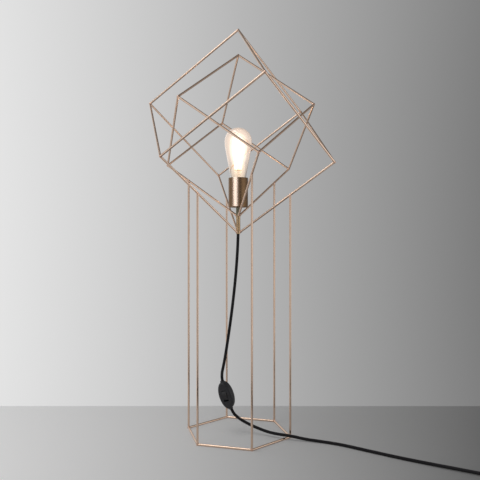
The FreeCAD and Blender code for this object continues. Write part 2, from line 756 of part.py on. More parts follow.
def cord():
    floor = cord_radius + cord_lift
    cord_run("cord_upper", [
        vec(0, 0, 546), vec(0, 0, 462), vec(-5.1, -1.5, 379), vec(-13.3, -3.8, 300), vec(-22.5, -6.5, 230),
        vec(-31.9, -9.2, 168), switch_high_end - switch_down * cord_lead,
        switch_high_end + switch_down * cord_depth])
    entry, entry_tangent, leave, leave_tangent = coil()
    cord_run("cord_lower", [
        switch_low_end - switch_down * cord_depth, switch_low_end + switch_down * cord_lead,
        vec(2.6, 0.8, 34), vec(25, 3.6, 22.5), vec(51.5, 1.9, 17), vec(79, -4.5, 15), vec(103, -11.5, 15.5),
        vec(131, -16, 15.5), vec(162, -15, 6.5), vec(198, -15.5, floor), vec(244, -23, floor),
        vec(308, -48, floor), vec(389, -77.5, floor), entry - entry_tangent * coil_approach, entry])
    heading = vec(leave_tangent.x, leave_tangent.y, 0).normalize()
    coil_tie()
    plug(tail(leave, heading), heading)


base_and_uprights()
wire_cube("outer", outer_edge, outer_corner_height, 0)
wire_cube("inner", inner_edge, inner_corner_height, 60)
stem()
lampholder()
bulb()
switch()
cord()

os.makedirs("parts", exist_ok=True)
for name, shape in parts.items():
    shape.exportStep("parts/%s.step" % name)
print(len(parts), "nodes")
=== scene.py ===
import bmesh
import bpy
import math
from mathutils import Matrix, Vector, noise


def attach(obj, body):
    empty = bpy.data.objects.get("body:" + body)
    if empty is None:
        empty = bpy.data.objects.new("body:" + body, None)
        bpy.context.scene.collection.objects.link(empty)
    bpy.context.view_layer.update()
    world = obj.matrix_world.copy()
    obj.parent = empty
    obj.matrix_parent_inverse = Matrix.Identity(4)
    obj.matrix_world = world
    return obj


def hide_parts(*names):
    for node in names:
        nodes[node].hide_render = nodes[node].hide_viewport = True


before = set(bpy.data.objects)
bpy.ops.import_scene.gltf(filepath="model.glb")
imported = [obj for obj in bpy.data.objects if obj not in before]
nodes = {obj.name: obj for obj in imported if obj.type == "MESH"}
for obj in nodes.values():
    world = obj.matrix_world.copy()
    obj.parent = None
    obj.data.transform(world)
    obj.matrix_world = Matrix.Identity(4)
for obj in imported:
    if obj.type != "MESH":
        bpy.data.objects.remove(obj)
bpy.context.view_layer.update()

print("frame loaded:", len(nodes), "nodes")


def mm(*sizes):
    return Vector(sizes) / 1000


def hexColour(code):
    shares = [int(code[i:i + 2], 16) / 255 for i in (1, 3, 5)]
    return [c / 12.92 if c < 0.04045 else ((c + 0.055) / 1.055) ** 2.4 for c in shares] + [1.0]


def addNode(tree, kind, inputs=None, **settings):
    # Sockets go by name or number; in a Mix node 0 is the factor, 2 and 3 are numbers, 6 and 7 colours
    node = tree.nodes.new(kind)
    for name, value in settings.items():
        setattr(node, name, value)
    for socket, value in (inputs or {}).items():
        if isinstance(value, bpy.types.NodeSocket):
            tree.links.new(value, node.inputs[socket])
        else:
            node.inputs[socket].default_value = value
    return node


def newMaterial(name, **sockets):
    material = bpy.data.materials.new(name)
    material.use_nodes = True
    shader = material.node_tree.nodes["Principled BSDF"]
    for socket, value in sockets.items():
        shader.inputs[socket.replace("_", " ")].default_value = value
    return material, material.node_tree, shader


noiseRange = (0.3, 0.7)     # nearly all values of Blender's noise lie in it


def surface(finish, **sockets):
    # Two tones in soft patches, a finer grain in the gloss, and the same grain as a slight relief; sizes in mm
    material, tree, shader = newMaterial(finish["name"], **sockets)
    place = addNode(tree, "ShaderNodeTexCoord").outputs["Object"]
    patches = addNode(tree, "ShaderNodeTexNoise", {
        "Vector": place, "Scale": 1000 / finish["patch"], "Detail": 3.0})
    tone = addNode(tree, "ShaderNodeMix", {
        0: patches.outputs["Fac"], 6: hexColour(finish["tones"][0]), 7: hexColour(finish["tones"][1])},
        data_type="RGBA")
    lines = addNode(tree, "ShaderNodeMapping", {
        "Vector": place, "Scale": [1000 / size for size in finish["grain"]]})
    grain = addNode(tree, "ShaderNodeTexNoise", {
        "Vector": lines.outputs["Vector"], "Scale": 1.0, "Detail": 2.0})
    gloss = addNode(tree, "ShaderNodeMapRange", {
        "Value": grain.outputs["Fac"], "From Min": noiseRange[0], "From Max": noiseRange[1],
        "To Min": finish["roughness"][0], "To Max": finish["roughness"][1]})
    relief = addNode(tree, "ShaderNodeBump", {
        "Height": grain.outputs["Fac"], "Strength": 1.0, "Distance": finish["relief"] / 1000})
    tree.links.new(tone.outputs[2], shader.inputs["Base Color"])
    tree.links.new(gloss.outputs["Result"], shader.inputs["Roughness"])
    tree.links.new(relief.outputs["Normal"], shader.inputs["Normal"])
    return material


def dress(material, *names):
    for name in names:
        nodes[name].data.materials.clear()
        nodes[name].data.materials.append(material)


def piece(name, mesh, material, body="lamp_frame"):
    obj = bpy.data.objects.new(name, mesh)
    bpy.context.scene.collection.objects.link(obj)
    mesh.materials.append(material)
    for polygon in mesh.polygons:
        polygon.use_smooth = True
    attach(obj, body)
    return obj


# Camera: level, turned from the lamp's own axes as the photograph shows it; degrees and mm
photoView = {"turn": 16.14, "aside": 4.25, "distance": 1432.4, "height": 459.9, "lens": 45.09}

turn = math.radians(photoView["turn"])
rightWay = Vector((math.cos(turn), math.sin(turn), 0))
depthWay = Vector((-math.sin(turn), math.cos(turn), 0))
camera = bpy.data.objects.new("camera", bpy.data.cameras.new("camera"))
camera.location = (rightWay * photoView["aside"] - depthWay * photoView["distance"]) / 1000
camera.location.z = photoView["height"] / 1000
camera.rotation_euler = (math.pi / 2, 0, turn)
camera.data.lens = photoView["lens"]
bpy.context.scene.collection.objects.link(camera)
bpy.context.scene.camera = camera
print("camera set")


# Cord: the route's points in mm, as in the solids but lower over the base ring, and one braided tube along
# each stretch
lead = {"diameter": 7.0, "sides": 24, "strands": 10}
upperRoute = [
    (0, 0, 500), (0, 0, 462), (-5.1, -1.5, 379), (-13.3, -3.8, 300), (-22.5, -6.5, 230), (-31.9, -9.2, 168),
    (-39.75, -11.47, 133.13), (-33.22, -9.59, 112.21)]
lowerRoute = [
    (-20.16, -5.81, 70.36), (-13.63, -3.93, 49.44), (2.6, 0.8, 34), (25, 3.6, 22.5), (51.5, 1.9, 14),
    (79, -4.5, 9.5), (103, -11.5, 9.6), (131, -16, 10), (162, -15, 5.2), (198, -15.5, 3.6), (244, -23, 3.6),
    (308, -48, 3.6), (389, -77.5, 3.6)]
# The spare length winds inwards on the floor, climbs within half a turn and winds outwards on top of itself
coil = {
    "approach": 84, "middle": (585, -92), "turns": 3.25, "inner": 29.5, "pitch": 7.5, "start": -107.5, "low": 4.8,
    "climb": 0.5, "perTurn": 16}
tail = {"length": 58, "end": 6.85}
tailSteps = [(0, 0), (0.22, 0), (0.49, 0.66), (0.77, 1), (1, 1)]     # share of its length, share of its fall


def coilPoint(turns):
    half = turns - coil["turns"] / 2
    climb = min(max(half / coil["climb"] + 0.5, 0), 1)
    angle = math.radians(coil["start"] + 360 * turns)
    radius = coil["inner"] + coil["pitch"] * abs(half)
    height = coil["low"] + coil["pitch"] * (3 - 2 * climb) * climb ** 2     # a smooth step
    return Vector((
        coil["middle"][0] + radius * math.cos(angle), coil["middle"][1] + radius * math.sin(angle), height))


def coilHeading(turns):
    nearby = 1e-4
    return (coilPoint(turns + nearby) - coilPoint(turns - nearby)).normalized()


def wholeLowerRoute():
    entry = coilPoint(0) - coilHeading(0) * lead["diameter"]
    route = [Vector(p) for p in lowerRoute] + [entry - coilHeading(0) * coil["approach"], entry]
    count = round(coil["turns"] * coil["perTurn"])
    route += [coilPoint(coil["turns"] * i / count) for i in range(count + 1)]
    heading = coilHeading(coil["turns"])
    leave = coilPoint(coil["turns"]) + heading * lead["diameter"]
    level = Vector((heading.x, heading.y, 0)).normalized()
    for share, fall in tailSteps:
        route.append(leave + level * tail["length"] * share + Vector((0, 0, (tail["end"] - leave.z) * fall)))
    return route


def splineLine(route):
    # The smooth line of the cord: a spline with the route's points as its control points
    curve = bpy.data.curves.new("line", "CURVE")
    curve.dimensions = "3D"
    spline = curve.splines.new("NURBS")
    spline.points.add(len(route) - 1)
    for point, place in zip(spline.points, route):
        point.co = (*(Vector(place) / 1000), 1)
    spline.order_u = 3
    spline.use_endpoint_u = True
    spline.resolution_u = 12
    carrier = bpy.data.objects.new("line", curve)
    mesh = bpy.data.meshes.new_from_object(carrier)
    points = [v.co.copy() for v in mesh.vertices]
    bpy.data.objects.remove(carrier)
    return points


def braidedTube(name, line, material):
    # Rings of points along the line, with the braid's strands counted along and around in the UV map
    mesh = bpy.data.meshes.new(name)
    shape = bmesh.new()
    layer = shape.loops.layers.uv.new("braid")
    radius = lead["diameter"] / 2 / 1000
    strandWidth = 2 * math.pi * radius / lead["strands"]
    angles = [2 * math.pi * k / lead["sides"] for k in range(lead["sides"])]
    side = Vector((1, 0, 0))
    rings, lengths = [], [0.0]
    for i, point in enumerate(line):
        ahead = (line[min(i + 1, len(line) - 1)] - line[max(i - 1, 0)]).normalized()
        side = (side - ahead * side.dot(ahead)).normalized()
        other = ahead.cross(side)
        rings.append([
            shape.verts.new(point + (side * math.cos(a) + other * math.sin(a)) * radius) for a in angles])
        if i:
            lengths.append(lengths[-1] + (point - line[i - 1]).length)
    for i in range(len(line) - 1):
        for k in range(lead["sides"]):
            after = (k + 1) % lead["sides"]
            face = shape.faces.new((rings[i][k], rings[i][after], rings[i + 1][after], rings[i + 1][k]))
            corners = ((i, k), (i, k + 1), (i + 1, k + 1), (i + 1, k))
            for loop, (row, column) in zip(face.loops, corners):
                loop[layer].uv = (lengths[row] / strandWidth, column * lead["strands"] / lead["sides"])
    shape.faces.new(reversed(rings[0]))
    shape.faces.new(rings[-1])
    shape.to_mesh(mesh)
    shape.free()
    return piece(name, mesh, material), lengths[-1]


# Braided viscose yarn, dyed black: matt, with a soft sheen at the edges and small lozenges where strands cross.
# It has about half as many strands as a real braid, whose lozenges would be too fine to show.
braidYarn = {
    "name": "black viscose braid", "tones": ("#0d0c0e", "#2f2d30"), "relief": 0.35, "depth": 0.8, "yarns": 5,
    "yarnHeight": 0.12}


def braid(finish):
    material, tree, shader = newMaterial(
        finish["name"], Roughness=0.82, Sheen_Weight=0.15, Sheen_Roughness=0.4, Specular_IOR_Level=0.25)
    flat = addNode(tree, "ShaderNodeSeparateXYZ", {"Vector": addNode(tree, "ShaderNodeTexCoord").outputs["UV"]})
    along, around = flat.outputs["X"], flat.outputs["Y"]
    ways = []
    for operation in ("ADD", "SUBTRACT"):
        way = addNode(tree, "ShaderNodeMath", {0: along, 1: around}, operation=operation).outputs[0]
        across = addNode(tree, "ShaderNodeMath", {0: way}, operation="FRACT").outputs[0]
        arch = addNode(tree, "ShaderNodeMath", {0: across, 1: math.pi}, operation="MULTIPLY").outputs[0]
        yarn = addNode(tree, "ShaderNodeMath", {0: arch, 1: finish["yarns"]}, operation="MULTIPLY").outputs[0]
        ways.append({
            "cell": addNode(tree, "ShaderNodeMath", {0: way}, operation="FLOOR").outputs[0],
            "round": addNode(tree, "ShaderNodeMath", {0: arch}, operation="SINE").outputs[0],
            "yarn": yarn})
    one, two = ways
    cells = addNode(tree, "ShaderNodeMath", {0: one["cell"], 1: two["cell"]}, operation="ADD").outputs[0]
    over = addNode(tree, "ShaderNodeMath", {0: cells, 1: 2.0}, operation="FLOORED_MODULO").outputs[0]
    top = addNode(tree, "ShaderNodeMix", {0: over, 2: one["round"], 3: two["round"]}).outputs[0]
    under = addNode(tree, "ShaderNodeMix", {0: over, 2: two["round"], 3: one["round"]}).outputs[0]
    threads = addNode(tree, "ShaderNodeMix", {0: over, 2: one["yarn"], 3: two["yarn"]}).outputs[0]
    fine = addNode(tree, "ShaderNodeMath", {0: threads}, operation="SINE").outputs[0]
    crown = addNode(tree, "ShaderNodeMath", {0: top, 1: under}, operation="MULTIPLY").outputs[0]
    height = addNode(tree, "ShaderNodeMath", {
        0: fine, 1: finish["yarnHeight"], 2: crown}, operation="MULTIPLY_ADD").outputs[0]
    # Tone by the yarns' height: painted shade, darker in the grooves between yarns and lighter on their crowns
    tone = addNode(tree, "ShaderNodeMix", {
        0: height, 6: hexColour(finish["tones"][0]), 7: hexColour(finish["tones"][1])}, data_type="RGBA")
    relief = addNode(tree, "ShaderNodeBump", {
        "Height": height, "Strength": finish["depth"], "Distance": finish["relief"] / 1000})
    tree.links.new(tone.outputs[2], shader.inputs["Base Color"])
    tree.links.new(relief.outputs["Normal"], shader.inputs["Normal"])
    return material


blackBraid = braid(braidYarn)
upperLine = splineLine(upperRoute)
upperCord, upperLength = braidedTube("lead_upper", upperLine, blackBraid)
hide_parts("cord_upper")
lowerLine = splineLine(wholeLowerRoute())
lowerCord, lowerLength = braidedTube("lead_lower", lowerLine, blackBraid)
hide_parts("cord_lower", "cord_coil", "cord_tail")
print("cord laid: %.3f m above the switch, %.3f m below it" % (upperLength, lowerLength))


# Drawn steel wire, copper plated and polished: pink-gold mirror streaks that waver a little along the wire.
# The waver is drawn over 6 mm, because real drawing lines are too fine to show.
copperPlate = {
    "name": "copper plating on drawn wire", "tones": ("#ebceb9", "#e4c6af"), "patch": 16, "grain": (6, 6, 6),
    "roughness": (0.14, 0.18), "relief": 0.002}
# The same plating over filed braze: duller, with a lumpy surface
brazePlate = {
    "name": "copper plating on filed braze", "tones": ("#f1cdb8", "#d9ae96"), "patch": 3, "grain": (1.1, 1.1, 1.1),
    "roughness": (0.2, 0.3), "relief": 0.06}

rods = [n for n in nodes if "_rod_" in n or n.startswith("upright_")] + ["base_ring"]
dress(surface(copperPlate, Metallic=1.0), *rods)

# Brazed joints: a small fillet of metal in each corner where wires meet, in mm. Each cube of the frame has its
# edge, the height of its lowest corner and its bearing.
wireFrame = {"base": 126, "outer": (280, 475.5, 0), "inner": (222, 515.5, 60), "rod": 5.0, "stem": 10.0}
braze = {
    "throat": 2.8, "fillet": 2.2, "taper": 3, "ripple": 0.25, "lumps": 2.2, "offStem": 0.6, "upStem": 0.7,
    "offFloor": 0.2}


def cubeEdges(edge, bearing):
    flat = edge * math.sqrt(2 / 3)
    turns = [math.radians(bearing + 120 * i) for i in range(3)]
    return [Vector((flat * math.cos(t), flat * math.sin(t), flat / math.sqrt(2))) for t in turns]


def jointsOfFrame():
    # Each joint's middle and the ways its wires leave it
    joints = []
    up = Vector((0, 0, 1))
    for edge, corner, bearing in (wireFrame["outer"], wireFrame["inner"]):
        edges = cubeEdges(edge, bearing)
        low = Vector((0, 0, corner))
        for bits in range(1, 8):
            ends = [bits >> i & 1 for i in range(3)]
            middle = low + sum((e * b for e, b in zip(edges, ends)), Vector())
            joints.append((middle, [e.normalized() * (1 - 2 * b) for e, b in zip(edges, ends)]))
        for e in edges:
            way = e.normalized()
            out = way / math.hypot(way.x, way.y)
            joints.append((low + out * wireFrame["base"], [way, -way, -up]))
            joints.append((
                low + out * (wireFrame["stem"] / 2 + braze["offStem"]),
                [way, up * braze["upStem"], -up * braze["upStem"]]))
    ring = [Vector((math.cos(math.radians(60 * i)), math.sin(math.radians(60 * i)), 0)) for i in range(6)]
    for i, out in enumerate(ring):
        ways = [(ring[i - 1] - out).normalized(), (ring[(i + 1) % 6] - out).normalized(), up]
        joints.append((out * wireFrame["base"] + up * wireFrame["rod"] / 2, ways))
    return joints


def brazedJoints(joints):
    mesh = bpy.data.meshes.new("brazed_joints")
    shape = bmesh.new()
    for middle, ways in joints:
        bead = bmesh.ops.create_icosphere(shape, subdivisions=3, radius=1.0)
        for vert in bead["verts"]:
            out = vert.co.normalized()
            swell = sum(max(0, out.dot(way)) ** braze["taper"] for way in ways)
            lump = noise.noise(out * braze["lumps"] + middle) * braze["ripple"]
            vert.co = (middle + out * (braze["throat"] + braze["fillet"] * swell + lump)) / 1000
            vert.co.z = max(vert.co.z, braze["offFloor"] / 1000)
    shape.to_mesh(mesh)
    shape.free()
    return mesh


joints = jointsOfFrame()
piece("brazed_joints", brazedJoints(joints), surface(brazePlate, Metallic=1.0))


# Stem. Satin brass tube, drawn and lightly brushed: a soft straw-coloured shine in lines along it
satinBrass = {
    "name": "satin brass tube", "tones": ("#cdb08c", "#b3956f"), "patch": 20, "grain": (0.5, 0.5, 6),
    "roughness": (0.24, 0.34), "relief": 0.01}
# Cut thread below the cup, zinc plated: dull grey, broken into light and dark by its ridges
zincThread = {
    "name": "zinc plated thread", "tones": ("#a9a58e", "#8b8a78"), "patch": 4, "grain": (0.6, 0.6, 0.6),
    "roughness": (0.3, 0.45), "relief": 0.01}
thread = {
    "low": 518.5, "high": 537.6, "bore": 5.03, "root": 5.08, "crest": 5.4, "flank": 1.3, "pitch": 1.0, "sides": 40,
    "rowsPerPitch": 8}


def threadSleeve():
    # Rows of points up the ridges and down the bore, joined into a closed sleeve
    mesh = bpy.data.meshes.new("stem_thread")
    sides, tall, ridge = thread["sides"], thread["high"] - thread["low"], thread["crest"] - thread["root"]
    steps = round(tall / thread["pitch"] * thread["rowsPerPitch"])
    rows = []
    for i in range(steps + 1):
        height = thread["low"] + tall * i / steps
        phases = [(height / thread["pitch"] - k / sides) % 1 for k in range(sides)]
        shares = [min(1, thread["flank"] * (1 - abs(2 * phase - 1))) for phase in phases]
        rows.append([(thread["root"] + ridge * share, height) for share in shares])
    rows += [[(thread["bore"], height)] * sides for height in (thread["high"], thread["low"])]
    points, faces = [], []
    for i, row in enumerate(rows):
        here, above = i * sides, (i + 1) % len(rows) * sides
        for k, (radius, height) in enumerate(row):
            angle = 2 * math.pi * k / sides
            points.append(mm(radius * math.cos(angle), radius * math.sin(angle), height))
            after = (k + 1) % sides
            faces.append((here + k, here + after, above + after, above + k))
    mesh.from_pydata(points, [], faces)
    return mesh


dress(surface(satinBrass, Metallic=1.0), "stem_tube")
piece("stem_thread", threadSleeve(), surface(zincThread, Metallic=1.0))

# Spun and brushed bronze cup: fine rings round it that draw each reflection into an upright band.
# The rings are drawn 1.6 mm high, because real brush lines are too fine to show.
brushedBronze = {
    "name": "brushed bronze cup", "tones": ("#987959", "#886b4f"), "patch": 30, "grain": (14, 14, 1.6),
    "roughness": (0.4, 0.44), "relief": 0.001}
# Glazed porcelain: white, smooth, slightly uneven in the glaze
porcelain = {
    "name": "glazed porcelain", "tones": ("#e9e5da", "#dcd7ca"), "patch": 9, "grain": (4, 4, 4),
    "roughness": (0.12, 0.2), "relief": 0.03}
# Pressed brass: bright, with faint draw lines from the press
pressedBrass = {
    "name": "pressed brass", "tones": ("#d8b46a", "#c29a50"), "patch": 8, "grain": (0.5, 0.5, 3),
    "roughness": (0.22, 0.34), "relief": 0.01}
# Zinc plated steel: cool grey with a fine crystalline bloom
zincSteel = {
    "name": "zinc plated steel", "tones": ("#b6b7b5", "#9c9e9e"), "patch": 2, "grain": (0.5, 0.5, 0.5),
    "roughness": (0.28, 0.42), "relief": 0.01}

bronze = surface(brushedBronze, Metallic=1.0, Anisotropic=0.6, Anisotropic_Rotation=0.25)
tree = bronze.node_tree
around = addNode(tree, "ShaderNodeTangent", direction_type="RADIAL", axis="Z")
tree.links.new(around.outputs["Tangent"], tree.nodes["Principled BSDF"].inputs["Tangent"])
dress(bronze, "lampholder_cup")
dress(surface(porcelain, Coat_Weight=0.6), "holder_insert")
dress(surface(pressedBrass, Metallic=1.0), "screw_shell", "centre_contact", "bulb_tip_contact", "switch_contacts")
dress(surface(zincSteel, Metallic=1.0), "holder_screws", "switch_screws")
print("stem and lampholder dressed")


# Bulb. Blown clear glass: bright rims, and a faint warm veil painted on as glow in the glass itself, standing in
# for the light inside; it grows from one height to another
clearGlass = {
    "name": "blown clear glass", "tint": "#fffaf4", "glow": "#ffdfca", "paintedVeil": 0.085, "from": 612, "to": 655,
    "wave": 45, "relief": 0.01}
# Pressed glass of the mount: thin and milky, hardly seen in the light round it
pressedGlass = {
    "name": "pressed stem glass", "tones": ("#fff6ea", "#f4e6d4"), "patch": 6, "grain": (3, 3, 3),
    "roughness": (0.2, 0.3), "relief": 0.02}
# Phosphor on glass sticks, lit: warm white, yellower and dimmer towards the ends
litPhosphor = {
    "name": "lit phosphor", "body": "#ffcf82", "ends": "#ffb45c", "light": "#fff0d6", "strength": 3.0,
    "endShare": 0.2, "low": 626.5, "high": 692.5, "fade": 5.0}
# Rolled nickel-plated brass: bright and slightly dented by the rolling
nickelPlate = {
    "name": "nickel plated brass", "tones": ("#c9c6be", "#b3afa6"), "patch": 7, "grain": (0.6, 0.6, 0.6),
    "roughness": (0.18, 0.3), "relief": 0.01}
# Black glass poured into the cap's foot: dark and glossy, a little wavy
capGlass = {
    "name": "black cap glass", "tones": ("#16161a", "#222227"), "patch": 5, "grain": (2, 2, 2),
    "roughness": (0.08, 0.2), "relief": 0.02}


def glass(finish):
    # Light passes straight through for shadows, so that the lit sticks shine out of the envelope
    material, tree, shader = newMaterial(
        finish["name"], Base_Color=hexColour(finish["tint"]), Roughness=0.01, IOR=1.5, Transmission_Weight=1.0,
        Emission_Color=hexColour(finish["glow"]))
    place = addNode(tree, "ShaderNodeTexCoord").outputs["Object"]
    # Painted glow: the glass itself emits the warm veil, more from one height up
    paintedVeil = addNode(tree, "ShaderNodeMapRange", {
        "Value": addNode(tree, "ShaderNodeSeparateXYZ", {"Vector": place}).outputs["Z"],
        "From Min": finish["from"] / 1000, "From Max": finish["to"] / 1000, "To Max": finish["paintedVeil"]})
    tree.links.new(paintedVeil.outputs["Result"], shader.inputs["Emission Strength"])
    wave = addNode(tree, "ShaderNodeTexNoise", {
        "Vector": place, "Scale": 1000 / finish["wave"], "Detail": 1.0})
    relief = addNode(tree, "ShaderNodeBump", {
        "Height": wave.outputs["Fac"], "Strength": 1.0, "Distance": finish["relief"] / 1000})
    tree.links.new(relief.outputs["Normal"], shader.inputs["Normal"])
    clear = addNode(tree, "ShaderNodeBsdfTransparent", {"Color": hexColour(finish["tint"])})
    ray = addNode(tree, "ShaderNodeLightPath")
    mixed = addNode(tree, "ShaderNodeMixShader", {
        0: ray.outputs["Is Shadow Ray"], 1: shader.outputs["BSDF"], 2: clear.outputs["BSDF"]})
    tree.links.new(mixed.outputs["Shader"], tree.nodes["Material Output"].inputs["Surface"])
    return material


def phosphor(finish):
    material, tree, shader = newMaterial(
        finish["name"], Roughness=0.6, Emission_Color=hexColour(finish["light"]))
    height = addNode(tree, "ShaderNodeSeparateXYZ", {
        "Vector": addNode(tree, "ShaderNodeTexCoord").outputs["Object"]}).outputs["Z"]
    low = addNode(tree, "ShaderNodeMapRange", {
        "Value": height, "From Min": finish["low"] / 1000, "From Max": (finish["low"] + finish["fade"]) / 1000})
    high = addNode(tree, "ShaderNodeMapRange", {
        "Value": height, "From Min": finish["high"] / 1000, "From Max": (finish["high"] - finish["fade"]) / 1000})
    lit = addNode(tree, "ShaderNodeMath", {
        0: low.outputs["Result"], 1: high.outputs["Result"]}, operation="MULTIPLY").outputs[0]
    tone = addNode(tree, "ShaderNodeMix", {
        0: lit, 6: hexColour(finish["ends"]), 7: hexColour(finish["body"])}, data_type="RGBA")
    power = addNode(tree, "ShaderNodeMath", {
        0: lit, 1: finish["strength"] * (1 - finish["endShare"]), 2: finish["strength"] * finish["endShare"]},
        operation="MULTIPLY_ADD").outputs[0]
    tree.links.new(tone.outputs[2], shader.inputs["Base Color"])
    tree.links.new(power, shader.inputs["Emission Strength"])
    return material


# Painted glow round the lit sticks: soft bodies that give off light with no surface of their own, white in the
# middle, warm at the edge and in the neck. They are part of the lighting and not of the lamp. Profiles are radius
# and height in mm.
glows = [
    {"name": "bulb_glow", "light": "#ffeedd", "strength": 28.0, "sides": 40, "profile": (
        (0.5, 633), (4, 637), (8, 642), (12, 650), (15, 664), (16, 682), (14.5, 695), (10.5, 704), (5, 708.5),
        (0.5, 710))},
    {"name": "bulb_haze", "light": "#ffeedd", "strength": 12.0, "sides": 40, "profile": (
        (0.5, 627), (6, 632), (11, 637), (15, 643), (18.5, 653), (21, 667), (22, 683), (20.5, 698), (15, 709),
        (7, 714.5), (0.5, 716))},
    {"name": "neck_glow", "light": "#ffd9a8", "strength": 12.5, "sides": 40, "profile": (
        (12, 606), (15, 608.5), (16.5, 616), (17.5, 626), (18, 636), (15, 644), (8, 650), (0.5, 652))},
    {"name": "bulb_halo", "light": "#ffdcc4", "strength": 5.0, "sides": 40, "profile": (
        (0.5, 618), (9, 623), (14, 634), (19, 650), (24, 668), (27, 686), (26, 702), (20, 716), (10, 723),
        (0.5, 724.5))}]


def turnedMesh(name, profile, sides):
    mesh = bpy.data.meshes.new(name)
    angles = [2 * math.pi * k / sides for k in range(sides)]
    points = [mm(r * math.cos(a), r * math.sin(a), z) for r, z in profile for a in angles]
    faces = [tuple(reversed(range(sides))), tuple(range(len(points) - sides, len(points)))]
    for i in range(len(profile) - 1):
        here, above = i * sides, (i + 1) * sides
        for k in range(sides):
            after = (k + 1) % sides
            faces.append((here + k, here + after, above + after, above + k))
    mesh.from_pydata(points, [], faces)
    return mesh


def bodyOfLight(finish):
    # Painted glow: light given off by an empty body, not by any gas in the bulb
    material, tree, shader = newMaterial("painted glow of the " + finish["name"].replace("_", " "), Alpha=0.0)
    light = addNode(tree, "ShaderNodeEmission", {
        "Color": hexColour(finish["light"]), "Strength": finish["strength"]})
    tree.links.new(light.outputs["Emission"], tree.nodes["Material Output"].inputs["Volume"])
    return material


for glow in glows:
    body = bpy.data.objects.new(glow["name"], turnedMesh(glow["name"], glow["profile"], glow["sides"]))
    body.data.materials.append(bodyOfLight(glow))
    bpy.context.scene.collection.objects.link(body)
dress(glass(clearGlass), "bulb_glass")
dress(surface(pressedGlass, Alpha=0.18), "bulb_mount")
dress(phosphor(litPhosphor), "bulb_filaments")
dress(surface(nickelPlate, Metallic=1.0), "bulb_cap", "bulb_lead_wires", "plug_pins")
dress(surface(capGlass), "bulb_cap_insulator")
print("bulb dressed")


# Switch. ABS moulded in a spark-eroded tool, black: matt, with a fine even grain, drawn coarser than real to show
grainedAbs = {
    "name": "grained black ABS", "tones": ("#1d1d21", "#26262b"), "patch": 18, "grain": (0.45, 0.45, 0.45),
    "roughness": (0.4, 0.56), "relief": 0.04}
# The rocker is the same ABS from a polished tool, so it is a little glossier
smoothAbs = {
    "name": "smooth black ABS", "tones": ("#19191d", "#232327"), "patch": 9, "grain": (0.8, 0.8, 0.8),
    "roughness": (0.24, 0.36), "relief": 0.01}
# Moulded nylon strip: satin black, faintly uneven
nylonTie = {
    "name": "black nylon tie", "tones": ("#17171a", "#222226"), "patch": 4, "grain": (0.9, 0.9, 0.9),
    "roughness": (0.34, 0.46), "relief": 0.03}
# Soft PVC moulded on to the lead: duller black, with a slight skin
softPvc = {
    "name": "moulded black PVC", "tones": ("#1a1a1c", "#252528"), "patch": 14, "grain": (0.6, 0.6, 0.6),
    "roughness": (0.44, 0.6), "relief": 0.03}

dress(surface(grainedAbs), "switch_base", "switch_cover")
dress(surface(smoothAbs), "switch_rocker")
dress(surface(nylonTie), "coil_tie")
dress(surface(softPvc), "plug_body")
print("switch, tie and plug dressed")


# Floor: pale paint with its far edge square to the camera; metres. Its tone is painted darker from left to right
# in a fan
# that opens towards the back: painted shade of light that falls in from the left. The lift adds to its tone for
# the camera and for what metal and glass show.
floor = {
    "back": 0.232, "front": 3.0, "half": 3.0, "light": "#f4f4f4", "dark": "#7c7c7c", "fade": 0.42, "nearest": 1.1,
    "lift": 0.2}

floorMesh = bpy.data.meshes.new("floor")
corners = ((-1, -floor["front"]), (1, -floor["front"]), (1, floor["back"]), (-1, floor["back"]))
floorMesh.from_pydata([rightWay * x * floor["half"] + depthWay * y for x, y in corners], [], [(0, 1, 2, 3)])
floorPiece = bpy.data.objects.new("floor", floorMesh)
bpy.context.scene.collection.objects.link(floorPiece)
paint, tree, shader = newMaterial("pale floor paint", Roughness=0.9, Specular_IOR_Level=0.0)
place = addNode(tree, "ShaderNodeTexCoord").outputs["Object"]
across = addNode(tree, "ShaderNodeVectorMath", {0: place, 1: rightWay}, operation="DOT_PRODUCT")
ahead = addNode(tree, "ShaderNodeVectorMath", {0: place, 1: depthWay}, operation="DOT_PRODUCT")
reach = addNode(tree, "ShaderNodeMath", {
    0: ahead.outputs["Value"], 1: photoView["distance"] / 1000}, operation="ADD").outputs[0]
reach = addNode(tree, "ShaderNodeMath", {0: reach, 1: floor["nearest"]}, operation="MAXIMUM").outputs[0]
slant = addNode(tree, "ShaderNodeMath", {0: across.outputs["Value"], 1: reach}, operation="DIVIDE").outputs[0]
fade = addNode(tree, "ShaderNodeMapRange", {
    "Value": slant, "From Min": -floor["fade"], "From Max": floor["fade"]})
# Painted shade: the floor's tone runs from light on the left to dark on the right
tone = addNode(tree, "ShaderNodeMix", {
    0: fade.outputs["Result"], 6: hexColour(floor["light"]), 7: hexColour(floor["dark"])}, data_type="RGBA")
rays = addNode(tree, "ShaderNodeLightPath").outputs
direct = addNode(tree, "ShaderNodeMath", {
    0: rays["Is Camera Ray"], 1: rays["Is Glossy Ray"]}, operation="ADD").outputs[0]
direct = addNode(tree, "ShaderNodeMath", {0: direct, 1: rays["Is Transmission Ray"]}, operation="ADD").outputs[0]
lift = addNode(tree, "ShaderNodeMath", {0: direct, 1: floor["lift"]}, operation="MULTIPLY").outputs[0]
tree.links.new(tone.outputs[2], shader.inputs["Base Color"])
tree.links.new(tone.outputs[2], shader.inputs["Emission Color"])
tree.links.new(lift, shader.inputs["Emission Strength"])
paint.cycles.emission_sampling = "NONE"     # the lift isn't a lamp, and counting it as one makes the cup grainy
floorMesh.materials.append(paint)

# Cards out of the picture, which only metal and glass show, as painted reflections: the dark one gives the wires
# their brown, shaded cores, and the pale one the light on their right
cards = [
    {"name": "floor_flag", "middle": (0.0, -0.62, 0.012), "size": (0.76, 0.5), "tone": "#101010"},
    {"name": "white_card", "middle": (0.95, -0.5, 0.012), "size": (1.1, 1.0), "tone": "#d0d0d0"}]

